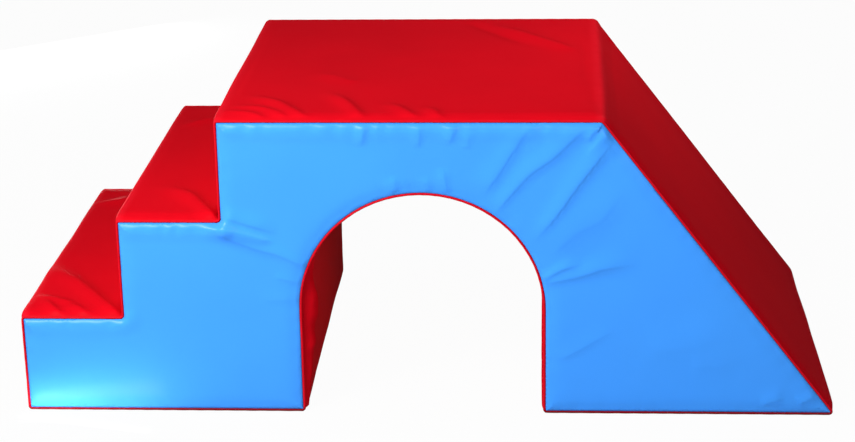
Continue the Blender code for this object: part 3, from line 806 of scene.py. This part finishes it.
def base_cloth(name, seam_x, zip_x, slab_name):
    """Half of a foot's base, from a cover seam to the zip, with a double hem folded up along the zip. With it
    come the width that it was cut to and the slab that lies on it."""
    towards = math.copysign(1, zip_x - seam_x)
    stations = cross_stations(DECK_GAP)
    opened = ease((SLIT_HALF + SLIT_TAPER - np.abs(stations)) / SLIT_TAPER)
    free_edge = zip_x - towards * (CLEARANCE + (ZIP_SLOT / 2 - CLEARANCE) * opened)
    bottom = BASE_LIFT + BASE_CLOTH / 2
    turn, tuck = HEM_LAYER, HEM_LAYER / 2
    profile = [(share, 0.0, bottom) for share in np.linspace(0, 1, 20)]
    profile += [(1, turn * math.sin(a) - turn, bottom + turn - turn * math.cos(a))
                for a in np.linspace(0.3, 2.84, 6)]
    profile += [(1, -back, bottom + 2 * turn) for back in np.linspace(turn, HEM_WIDTH - tuck, 5)]
    profile += [(1, tuck - HEM_WIDTH - tuck * math.sin(a), bottom + 2 * turn - tuck + tuck * math.cos(a))
                for a in np.linspace(0.4, 2.74, 4)]
    profile += [(1, -back, bottom + turn) for back in np.linspace(HEM_WIDTH - tuck, 2 * turn, 5)]
    start = seam_x + towards * CLEARANCE
    points = []
    for y, edge, depth in zip(stations, free_edge, drawn_in(WIDTH / 2 - np.abs(stations))):
        flat = edge - towards * turn - start
        for share, beyond, z in profile:
            x = start + flat * share + towards * (turn + beyond) * (share == 1)
            uneven = noise.noise((x / BASE_SAG_LENGTH, y / BASE_SAG_LENGTH, seam_x))
            sag = BASE_SAG * (0.5 + 0.5 * uneven)
            points.append((x, y, z + depth + sag * math.sin(math.pi * share)))
    columns = len(profile)
    faces = grid_faces(len(stations), columns)
    faces = faces if towards < 0 else [face[::-1] for face in faces]
    obj = mesh_object(name, points, faces)
    obj.data.shade_smooth()
    apply_modifier(obj, "SOLIDIFY", thickness=BASE_CLOTH, offset=0)
    cut_width = abs(zip_x - seam_x) - ZIP_SLOT / 2 + 2 * HEM_WIDTH
    return obj, cut_width, slab_name


def base_stitches(name, zip_x, seams):
    """Rows of stitches along Y in one foot's base: two in each hem by the zip, and one inside each cover
    seam. One stitch is modelled, repeated along its row and copied to the other rows."""
    hems = (ZIP_SLOT / 2 + SEAM_STITCH_INSET, ZIP_SLOT / 2 + HEM_WIDTH - HEM_STITCH_INSET)
    rows = [(zip_x + side * hem, SLIT_HALF) for side in (-1, 1) for hem in hems]
    rows += [(seam + math.copysign(SEAM_STITCH_INSET, zip_x - seam), WIDTH / 2 - FLAT_INSET)
             for seam in seams]
    bpy.ops.object.select_all(action="DESELECT")
    bpy.ops.mesh.primitive_cylinder_add(vertices=6, radius=THREAD_RADIUS, depth=STITCH_SHARE * STITCH_LENGTH,
                                        rotation=(math.pi / 2, 0, STITCH_SLANT))
    stitch = bpy.context.object
    bpy.ops.object.transform_apply(rotation=True)
    bpy.ops.object.mode_set(mode="EDIT")
    bpy.ops.mesh.select_all(action="SELECT")
    bpy.ops.mesh.bisect(plane_co=(0, 0, 0), plane_no=(0, 1, 0))
    bpy.ops.object.mode_set(mode="OBJECT")
    ends = places(stitch)
    rise = np.where(np.abs(ends[:, 1]) > STITCH_LENGTH / 5, THREAD_RADIUS, 0)
    put(stitch, ends + np.stack([0 * rise, 0 * rise, rise + BASE_LIFT], axis=1))
    one = stitch.data.copy()
    bpy.data.objects.remove(stitch)
    parts = []
    for x, half in rows:
        part = bpy.data.objects.new(name, one.copy())
        bpy.context.scene.collection.objects.link(part)
        put(part, places(part) + (x, -half, 0))
        apply_modifier(part, "ARRAY", count=int(2 * half / STITCH_LENGTH), use_relative_offset=False,
                       use_constant_offset=True, constant_offset_displace=(0, STITCH_LENGTH, 0))
        parts.append(part)
    bpy.ops.object.select_all(action="DESELECT")
    for part in parts:
        part.select_set(True)
    bpy.context.view_layer.objects.active = parts[0]
    bpy.ops.object.join()
    parts[0].data.shade_smooth()
    return parts[0]


def zip_tape(name, zip_x, side):
    """A woven tape: a box over the imported tape with its edges rounded, its faces cut along both sides of
    the line where the coil is sewn on.
    """
    low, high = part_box(name)
    bpy.ops.object.select_all(action="DESELECT")
    bpy.ops.mesh.primitive_cube_add(size=1, location=(low + high) / 2, scale=high - low)
    tape = bpy.context.object
    tape.name = name + "_weave"
    bpy.ops.object.transform_apply(location=True, scale=True)
    bpy.ops.object.mode_set(mode="EDIT")
    bead = zip_x + side * (HALF_SPLIT + COIL_WIDTH + 2 * TAPE)
    for x in (bead - TAPE / 2, bead + TAPE / 2):
        bpy.ops.mesh.select_all(action="SELECT")
        bpy.ops.mesh.bisect(plane_co=(x, 0, 0), plane_no=(1, 0, 0))
    bpy.ops.object.mode_set(mode="OBJECT")
    apply_modifier(tape, "BEVEL", width=TAPE / 4, segments=2, limit_method="ANGLE")
    tape.data.shade_smooth()
    return tape


def zip_coil(name, phase):
    """One nylon thread wound into the turns of a zip's half."""
    low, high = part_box(name)
    centre, half = (low + high) / 2, (high - low) / 2
    turns = int((high.y - low.y - 2 * COIL_THREAD_RADIUS) / COIL_PITCH)
    path = []
    for index in range(turns * COIL_TURN_POINTS + 1):
        angle = 2 * math.pi * (index / COIL_TURN_POINTS + phase)
        path.append((centre.x + (half.x - COIL_THREAD_RADIUS) * math.cos(angle),
                     low.y + COIL_THREAD_RADIUS + COIL_PITCH * index / COIL_TURN_POINTS,
                     centre.z + (half.z - COIL_THREAD_RADIUS) * math.sin(angle)))
    return cord(name + "_thread", path, [1] * len(path), COIL_THREAD_RADIUS, fineness=0, closed=False)


# Each half of a base: where it is sewn to a cover, its zip and the slab that lies on it
BASE_SEAMS = {
    "step_base_toe": (STEP_TOE_SEAM_X, STEP_ZIP_X, "lower_step_slab"),
    "step_base_heel": (STEP_HEEL_SEAM_X, STEP_ZIP_X, "lower_step_slab"),
    "slope_base_heel": (SLOPE_HEEL_SEAM_X, SLOPE_ZIP_X, "lower_slope_slab"),
    "slope_base_toe": (SLOPE_TOE_SEAM_X, SLOPE_ZIP_X, "lower_slope_slab"),
}
BASES = {f"{half}_panel": base_cloth(f"{half}_cloth", *seam) for half, seam in BASE_SEAMS.items()}
zips = {"step_zip": STEP_ZIP_X, "slope_zip": SLOPE_ZIP_X}
tapes = {f"{zip_name}_{word}_tape": zip_tape(f"{zip_name}_{word}_tape", x, side)
         for zip_name, x in zips.items() for word, side in (("left", -1), ("right", 1))}
coils = {f"{zip_name}_{word}_coil": zip_coil(f"{zip_name}_{word}_coil", phase)
         for zip_name in zips for word, phase in (("left", 0.0), ("right", 0.5))}
stitches = [
    base_stitches("step_base_stitches", STEP_ZIP_X, (STEP_TOE_SEAM_X, STEP_HEEL_SEAM_X)),
    base_stitches("slope_base_stitches", SLOPE_ZIP_X, (SLOPE_HEEL_SEAM_X, SLOPE_TOE_SEAM_X)),
]

# Materials

# A pattern's scale is written as 1 over the length in metres of one of its features


def linear(hex_colour):
    """A colour written as sRGB hex, as the linear colour that shaders take."""
    parts = [int(hex_colour[i:i + 2], 16) / 255 for i in (1, 3, 5)]
    return [c / 12.92 if c <= 0.04045 else ((c + 0.055) / 1.055) ** 2.4 for c in parts] + [1]


def node(tree, kind, inputs=(), **settings):
    """Adds a node: settings are its own, and inputs are constants or sockets to link, by name or number."""
    made = tree.nodes.new(kind)
    for name, value in settings.items():
        setattr(made, name, value)
    for name, value in dict(inputs).items():
        if isinstance(value, bpy.types.NodeSocket):
            tree.links.new(value, made.inputs[name])
        else:
            made.inputs[name].default_value = value
    return made


def new_material(name, **constants):
    """A material with one shader, whose sockets of one value all over are set here."""
    material = bpy.data.materials.new(name)
    material.use_nodes = True
    shader = material.node_tree.nodes["Principled BSDF"]
    for socket, value in constants.items():
        shader.inputs[socket.replace("_", " ")].default_value = value
    place = node(material.node_tree, "ShaderNodeTexCoord").outputs["Object"]
    return material, material.node_tree, shader, place


def plug(tree, shader, **made):
    """Links what was made for a shader to its sockets, by their names."""
    for socket, value in made.items():
        tree.links.new(value, shader.inputs[socket.replace("_", " ")])


def wave_scale(spacing):
    """Scale at which a wave texture's bands lie that far apart."""
    return 2 * math.pi / (20 * spacing)


def coated_cloth(name, colour, shade, dust_and_seam_shade, worn, coat):
    """PVC-coated polyester, calendered and embossed: an even strong colour under a thin soft gloss, a fine
    grain, a slight crumple, a dusting along the seams darkened further by painted shade where the cover is
    drawn in, and paler cloth over the bends that rub."""
    material, tree, shader, place = new_material(name, IOR=1.53, Specular_IOR_Level=0.0, Coat_Weight=coat,
                                                 Coat_Roughness=0.34, Coat_IOR=1.53)
    cloud = node(tree, "ShaderNodeTexNoise", {"Vector": place, "Scale": 1 / 0.18, "Detail": 3.0})
    mottle = node(tree, "ShaderNodeMix", {
        "Factor": cloud.outputs["Fac"], 6: linear(colour), 7: linear(shade)}, data_type="RGBA")
    scuff = node(tree, "ShaderNodeTexNoise", {"Vector": place, "Scale": 1 / 0.03, "Detail": 4.0})
    edge = node(tree, "ShaderNodeAttribute", attribute_name="edge")
    # Darker within 7 mm of a seam: partly a dusting that settles there, partly painted shade in the hollow
    # where the cover is drawn in to the piping
    seam = node(tree, "ShaderNodeMapRange", {"Value": edge.outputs["Fac"], "From Min": SEAM_INSET,
                                             "From Max": SEAM_INSET + 0.007, "To Min": 0.5, "To Max": 0.0})
    dust_and_shade_mask = node(tree, "ShaderNodeMath", {0: seam.outputs["Result"], 1: scuff.outputs["Fac"]},
                 operation="MULTIPLY")
    dust_and_shade_colour = node(tree, "ShaderNodeMix", {"Factor": dust_and_shade_mask.outputs[0], 6: mottle.outputs[2], 7: linear(dust_and_seam_shade)},
                  data_type="RGBA")
    bend = node(tree, "ShaderNodeAttribute", attribute_name="bend")
    rubbed = node(tree, "ShaderNodeMath", {0: bend.outputs["Fac"], 1: scuff.outputs["Fac"]},
                  operation="MULTIPLY")
    colours = node(tree, "ShaderNodeMix", {
        "Factor": rubbed.outputs[0], 6: dust_and_shade_colour.outputs[2], 7: linear(worn)}, data_type="RGBA")
    rough = node(tree, "ShaderNodeMapRange", {"Value": scuff.outputs["Fac"], "To Min": 0.38, "To Max": 0.50})
    # The real grain is about 1 mm wide, too fine to show, so it is drawn 2.5 mm wide
    grain = node(tree, "ShaderNodeTexVoronoi", {"Vector": place, "Scale": 1 / 0.0025},
                 feature="DISTANCE_TO_EDGE")
    crumple = node(tree, "ShaderNodeTexNoise", {"Vector": place, "Scale": 1 / 0.022, "Detail": 2.0})
    soft = node(tree, "ShaderNodeBump", {
        "Height": crumple.outputs["Fac"], "Strength": 0.3, "Distance": 0.0006})
    bump = node(tree, "ShaderNodeBump", {"Height": grain.outputs["Distance"], "Strength": 0.2,
                                         "Distance": 0.0002, "Normal": soft.outputs["Normal"]})
    plug(tree, shader, Base_Color=colours.outputs[2], Roughness=rough.outputs["Result"],
         Normal=bump.outputs["Normal"])
    return material


def wrapped_piping(name, colour, shade, floor_shadow_colour):
    """A strip of PVC cloth wrapped tight round a cord: a bright line that darkens where the needle pulls it
    in, and turns dark near the floor with painted shade that stands in for its contact shadow."""
    material, tree, shader, place = new_material(name, IOR=1.53, Specular_IOR_Level=0.0, Coat_Weight=0.04,
                                                 Coat_Roughness=0.30, Coat_IOR=1.53)
    # Stitches lie 4 mm apart. They are too fine to show, so the pulls of several are drawn as one
    pulls = node(tree, "ShaderNodeTexNoise", {"Vector": place, "Scale": 1 / 0.012, "Detail": 2.0})
    clean = node(tree, "ShaderNodeMix", {"Factor": pulls.outputs["Fac"], 6: linear(colour), 7: linear(shade)},
                 data_type="RGBA")
    height = node(tree, "ShaderNodeSeparateXYZ", {0: place}).outputs["Z"]
    # Painted shadow: the colour turns dark within a few millimetres of the floor, standing in for the contact
    # shadow under the block's bottom edge
    floor_shadow_mask = node(tree, "ShaderNodeMapRange", {"Value": height, "From Min": PIPING_INSET,
                                              "From Max": 4 * PIPING_INSET, "To Min": 0.85, "To Max": 0.0})
    colours = node(tree, "ShaderNodeMix", {"Factor": floor_shadow_mask.outputs["Result"], 6: clean.outputs[2],
                                           7: linear(floor_shadow_colour)}, data_type="RGBA")
    rough = node(tree, "ShaderNodeMapRange", {"Value": pulls.outputs["Fac"], "To Min": 0.34, "To Max": 0.48})
    bump = node(tree, "ShaderNodeBump", {"Height": pulls.outputs["Fac"], "Strength": 0.4, "Distance": 0.0005})
    plug(tree, shader, Base_Color=colours.outputs[2], Roughness=rough.outputs["Result"],
         Normal=bump.outputs["Normal"])
    return material


def nonslip_cloth(name):
    """Woven polyester printed with PVC dots: matt black cloth with small raised dots, a little shinier."""
    material, tree, shader, place = new_material(name, IOR=1.5, Specular_IOR_Level=0.3)
    spots = node(tree, "ShaderNodeTexVoronoi", {"Vector": place, "Scale": 1 / 0.006, "Randomness": 0.0})
    dot = node(tree, "ShaderNodeMapRange", {"Value": spots.outputs["Distance"], "From Min": 0.24,
                                            "From Max": 0.34, "To Min": 1.0, "To Max": 0.0})
    # The real threads lie 0.5 mm apart, too fine to show, so they are drawn 2 mm apart
    warp = node(tree, "ShaderNodeTexWave", {"Vector": place, "Scale": wave_scale(0.002)}, bands_direction="X")
    weft = node(tree, "ShaderNodeTexWave", {"Vector": place, "Scale": wave_scale(0.002)}, bands_direction="Y")
    weave = node(tree, "ShaderNodeMath", {0: warp.outputs["Fac"], 1: weft.outputs["Fac"]},
                 operation="MULTIPLY")
    cloth = node(tree, "ShaderNodeMix", {
        "Factor": weave.outputs[0], 6: linear("#222225"), 7: linear("#38383C")}, data_type="RGBA")
    colours = node(tree, "ShaderNodeMix", {"Factor": dot.outputs["Result"], 6: cloth.outputs[2],
                                           7: linear("#1C1C1E")}, data_type="RGBA")
    rough = node(tree, "ShaderNodeMapRange", {"Value": dot.outputs["Result"], "To Min": 0.9, "To Max": 0.5})
    woven = node(tree, "ShaderNodeBump", {"Height": weave.outputs[0], "Strength": 0.5, "Distance": 0.0003})
    bump = node(tree, "ShaderNodeBump", {"Height": dot.outputs["Result"], "Strength": 0.7, "Distance": 0.0005,
                                         "Normal": woven.outputs["Normal"]})
    plug(tree, shader, Base_Color=colours.outputs[2], Roughness=rough.outputs["Result"],
         Normal=bump.outputs["Normal"])
    return material


def cut_foam(name):
    """Polyurethane foam cut with a wire: pale cream, open cells and faint waves from the wire."""
    material, tree, shader, place = new_material(name, IOR=1.5, Roughness=0.95, Specular_IOR_Level=0.2)
    # The real cells are about 1 mm wide, too fine to show, so they are drawn 3 mm wide
    cells = node(tree, "ShaderNodeTexVoronoi", {"Vector": place, "Scale": 1 / 0.003})
    wire = node(tree, "ShaderNodeTexWave", {"Vector": place, "Scale": wave_scale(0.014), "Distortion": 1.5},
                bands_direction="Z")
    colours = node(tree, "ShaderNodeMix", {"Factor": cells.outputs["Distance"], 6: linear("#D8CFAE"),
                                           7: linear("#F2EBD2")}, data_type="RGBA")
    waves = node(tree, "ShaderNodeBump", {"Height": wire.outputs["Fac"], "Strength": 0.2, "Distance": 0.0006})
    bump = node(tree, "ShaderNodeBump", {"Height": cells.outputs["Distance"], "Strength": 0.6,
                                         "Distance": 0.0008, "Normal": waves.outputs["Normal"]})
    plug(tree, shader, Base_Color=colours.outputs[2], Normal=bump.outputs["Normal"])
    return material


def banded(name, dark, light, spacing, turn, roughness, depth, **constants):
    """Thread, tape or wound nylon: bands of shade that follow its strands, turned about Z to lie so."""
    material, tree, shader, place = new_material(name, Roughness=roughness, **constants)
    turned = node(tree, "ShaderNodeMapping", {"Vector": place, "Rotation": (0, 0, turn)})
    strands = node(tree, "ShaderNodeTexWave", {
        "Vector": turned.outputs["Vector"], "Scale": wave_scale(spacing)})
    colours = node(tree, "ShaderNodeMix", {
        "Factor": strands.outputs["Fac"], 6: linear(dark), 7: linear(light)}, data_type="RGBA")
    bump = node(tree, "ShaderNodeBump", {
        "Height": strands.outputs["Fac"], "Strength": 0.5, "Distance": depth})
    plug(tree, shader, Base_Color=colours.outputs[2], Normal=bump.outputs["Normal"])
    return material


def plated_casting(name):
    """Zinc alloy, die-cast and nickel-plated: a bright warm grey metal with fine scratches along the zip."""
    material, tree, shader, place = new_material(name, Metallic=1.0)
    drawn = node(tree, "ShaderNodeMapping", {"Vector": place, "Scale": (1, 0.08, 1)})
    scratches = node(tree, "ShaderNodeTexNoise", {"Vector": drawn.outputs["Vector"], "Scale": 1 / 0.0004,
                                                  "Detail": 3.0})
    tarnish = node(tree, "ShaderNodeTexNoise", {"Vector": place, "Scale": 1 / 0.005, "Detail": 2.0})
    colours = node(tree, "ShaderNodeMix", {"Factor": tarnish.outputs["Fac"], 6: linear("#D6D3CC"),
                                           7: linear("#BEB9B0")}, data_type="RGBA")
    rough = node(tree, "ShaderNodeMapRange", {
        "Value": scratches.outputs["Fac"], "To Min": 0.18, "To Max": 0.42})
    bump = node(tree, "ShaderNodeBump", {"Height": scratches.outputs["Fac"], "Strength": 0.15,
                                         "Distance": 0.00005})
    plug(tree, shader, Base_Color=colours.outputs[2], Roughness=rough.outputs["Result"],
         Normal=bump.outputs["Normal"])
    return material


# Each cloth's fourth colour is its darker seam colour: a dusting there, and painted shade in the drawn-in
# hollow beside the piping
blue_pvc = coated_cloth("blue PVC-coated cloth, embossed", "#3F9CFF", "#3C97FB", "#3886DC", "#62B0FF",
                        coat=0.40)
red_pvc = coated_cloth("red PVC-coated cloth, embossed", "#D20A1A", "#C80818", "#A80C16", "#DC1C2C",
                       coat=0.02)
# The piping's last colour is painted shade near the floor, standing in for its contact shadow
piping_pvc = wrapped_piping("red PVC piping, wrapped", "#D81024", "#C40C1C", "#4E1014")
base_black = nonslip_cloth("black non-slip cloth, woven and dotted")
foam_cream = cut_foam("polyurethane foam, wire-cut")
tape_black = banded("polyester zip tape, twill-woven", "#1C1C1E", "#303034", spacing=0.0012,
                    turn=math.radians(45), roughness=0.9, depth=0.0002, Specular_IOR_Level=0.3)
coil_black = banded("nylon zip coil, wound and heat-set", "#2C2C31", "#3E3E45", spacing=COIL_PITCH,
                    turn=math.radians(90), roughness=0.35, depth=0.00005, IOR=1.53)
thread_black = banded("bonded polyester thread, twisted", "#2E2E33", "#48484F", spacing=0.0006,
                      turn=math.radians(60), roughness=0.6, depth=0.0001, Specular_IOR_Level=0.3)
nickel = plated_casting("zinc alloy, die-cast and nickel-plated")


def wear(obj, material, slot, *nodes):
    """Gives a piece its material, hangs it on the block's body and hides the parts of the imported model that
    it stands for.
    """
    obj.data.materials.clear()
    obj.data.materials.append(material)
    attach(obj, "block")
    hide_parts(*nodes)


for side_node, side_cloth in {"front_side_panel": front_cover, "back_side_panel": back_cover}.items():
    wear(side_cloth, blue_pvc, "blue_cover", side_node)
for strip_node, (strip, strip_path, rests) in STRIPS.items():
    wear(strip, red_pvc, "red_cover", strip_node)
wear(front_cord, piping_pvc, "piping", "front_piping")
wear(back_cord, piping_pvc, "piping", "back_piping")
for slab_name, (slab, foam_node) in FOAM_SLABS.items():
    wear(slab, foam_cream, "foam", foam_node)
for base_node, (base, base_width, slab_name) in BASES.items():
    wear(base, base_black, "base_cloth", base_node)
for tape_node, tape in tapes.items():
    wear(tape, tape_black, "zip_tape", tape_node)
for coil_node, coil in coils.items():
    wear(coil, coil_black, "zip_coil", coil_node)
for stitching in stitches:
    wear(stitching, thread_black, "base_cloth")
for metal_node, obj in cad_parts.items():
    if metal_node.endswith(("_stop", "_slider", "_pull_tab")):
        obj.data.materials.clear()
        obj.data.materials.append(nickel)
        weld = obj.modifiers.new("Weld", "WELD")
        weld.merge_threshold = WELD_GAP
        bevel = obj.modifiers.new("Bevel", "BEVEL")
        bevel.width, bevel.segments, bevel.limit_method = METAL_ROUNDING, 2, "ANGLE"


# Camera


def aim_camera():
    forward = Vector((math.sin(CAMERA_YAW) * math.cos(CAMERA_PITCH),
                      math.cos(CAMERA_YAW) * math.cos(CAMERA_PITCH), -math.sin(CAMERA_PITCH)))
    level = Vector((math.cos(CAMERA_YAW), -math.sin(CAMERA_YAW), 0))
    up = level.cross(forward)
    across = math.cos(CAMERA_ROLL) * level + math.sin(CAMERA_ROLL) * up
    above = math.cos(CAMERA_ROLL) * up - math.sin(CAMERA_ROLL) * level
    lens = bpy.data.cameras.new("camera")
    lens.sensor_width = SENSOR
    lens.lens = FOCAL_PIXELS / PHOTO_WIDTH * SENSOR
    camera = bpy.data.objects.new("camera", lens)
    bpy.context.scene.collection.objects.link(camera)
    turned = Matrix((across, above, -forward)).transposed().to_4x4()
    camera.matrix_world = Matrix.Translation(CAMERA_PLACE) @ turned
    bpy.context.scene.camera = camera


aim_camera()


# Light and floor


def soft_light(name, place, target, size, power):
    """A soft box of a width and a height that points at a target and isn't seen itself."""
    lamp = bpy.data.lights.new(name, "AREA")
    lamp.shape = "RECTANGLE"
    lamp.size, lamp.size_y = size
    lamp.energy = power
    box = bpy.data.objects.new(name, lamp)
    box.location = place
    box.rotation_euler = (Vector(target) - Vector(place)).to_track_quat("-Z", "Y").to_euler()
    box.visible_camera = False
    bpy.context.scene.collection.objects.link(box)
    return box


# Each lamp's place, what it points at, its size and its power
LIGHTS = {
    "key_light": ((-1.6, -2.6, 2.8), (-0.1, -0.1, 0.4), (1.4, 1.4), 104),
    "left_light": ((-2.2, -2.2, 2.2), (-0.3, -0.3, 0.4), (1.0, 1.0), 56),
    "front_right_light": ((1.4, -2.8, 1.6), (0.4, -0.4, 0.4), (1.2, 1.2), 22.5),
    "slope_light": ((1.0, 0.4, 1.7), (0.5, 0.2, 0.7), (0.4, 0.4), 7.5),
    "back_light": ((-2.0, 3.0, 0.12), (-0.1, 0.5, 0.12), (1.6, 0.2), 70),
}
# Strips of light on the floor by the foot of the steps, as from a bright floor too matt to show as gloss
FLOOR_LIGHTS = {
    "low_long_light": ((-0.84, -0.59, 0.008), (-0.815, -0.49, 0.008), (0.34, 0.012), 0.295),
    "low_corner_light": ((-0.92, -0.575, 0.008), (-0.92, -0.49, 0.008), (0.16, 0.012), 0.0285),
}
# Even light on the block from all round, and the floor's paint and the share of it that looks plain white
AMBIENT = 0.06
FLOOR_SIZE = 60
FLOOR_GREY = 0.45
FLOOR_GLOW = 0.97
for light_name, settings in LIGHTS.items():
    soft_light(light_name, *settings)
for light_name, settings in FLOOR_LIGHTS.items():
    soft_light(light_name, *settings).visible_glossy = False


def seen_directly(tree):
    """1 for rays that show the background as such: from the camera, off gloss, or through glass."""
    path = node(tree, "ShaderNodeLightPath")
    either = node(tree, "ShaderNodeMath", {
        0: path.outputs["Is Camera Ray"], 1: path.outputs["Is Glossy Ray"]}, operation="MAXIMUM")
    return node(tree, "ShaderNodeMath", {0: either.outputs[0], 1: path.outputs["Is Transmission Ray"]},
                operation="MAXIMUM").outputs[0]


def white_studio():
    """White all round to the eye, and a dimmer even light to the block."""
    world = bpy.data.worlds.new("white studio")
    bpy.context.scene.world = world
    world.use_nodes = True
    tree = world.node_tree
    dim = node(tree, "ShaderNodeBackground", {"Color": (1, 1, 1, 1), "Strength": AMBIENT})
    white = node(tree, "ShaderNodeBackground", {"Color": (1, 1, 1, 1), "Strength": 1.0})
    mix = node(tree, "ShaderNodeMixShader", {0: seen_directly(tree), 1: dim.outputs[0], 2: white.outputs[0]})
    tree.links.new(mix.outputs[0], tree.nodes["World Output"].inputs["Surface"])


def white_floor():
    """A pale floor that keeps a faint shadow of the block."""
    bpy.ops.object.select_all(action="DESELECT")
    bpy.ops.mesh.primitive_plane_add(size=FLOOR_SIZE)
    floor = bpy.context.object
    floor.name = "floor"
    material, tree, shader, _ = new_material("white painted floor")
    tree.nodes.remove(shader)
    paint = node(tree, "ShaderNodeBsdfDiffuse", {"Color": (FLOOR_GREY, FLOOR_GREY, FLOOR_GREY, 1)})
    glow = node(tree, "ShaderNodeEmission", {"Color": (1, 1, 1, 1), "Strength": 1.0})
    share = node(tree, "ShaderNodeMath", {0: seen_directly(tree), 1: FLOOR_GLOW}, operation="MULTIPLY")
    mix = node(tree, "ShaderNodeMixShader", {0: share.outputs[0], 1: paint.outputs[0], 2: glow.outputs[0]})
    tree.links.new(mix.outputs[0], tree.nodes["Material Output"].inputs["Surface"])
    floor.data.materials.append(material)


white_studio()
white_floor()
bpy.context.scene.view_settings.view_transform = "Standard"
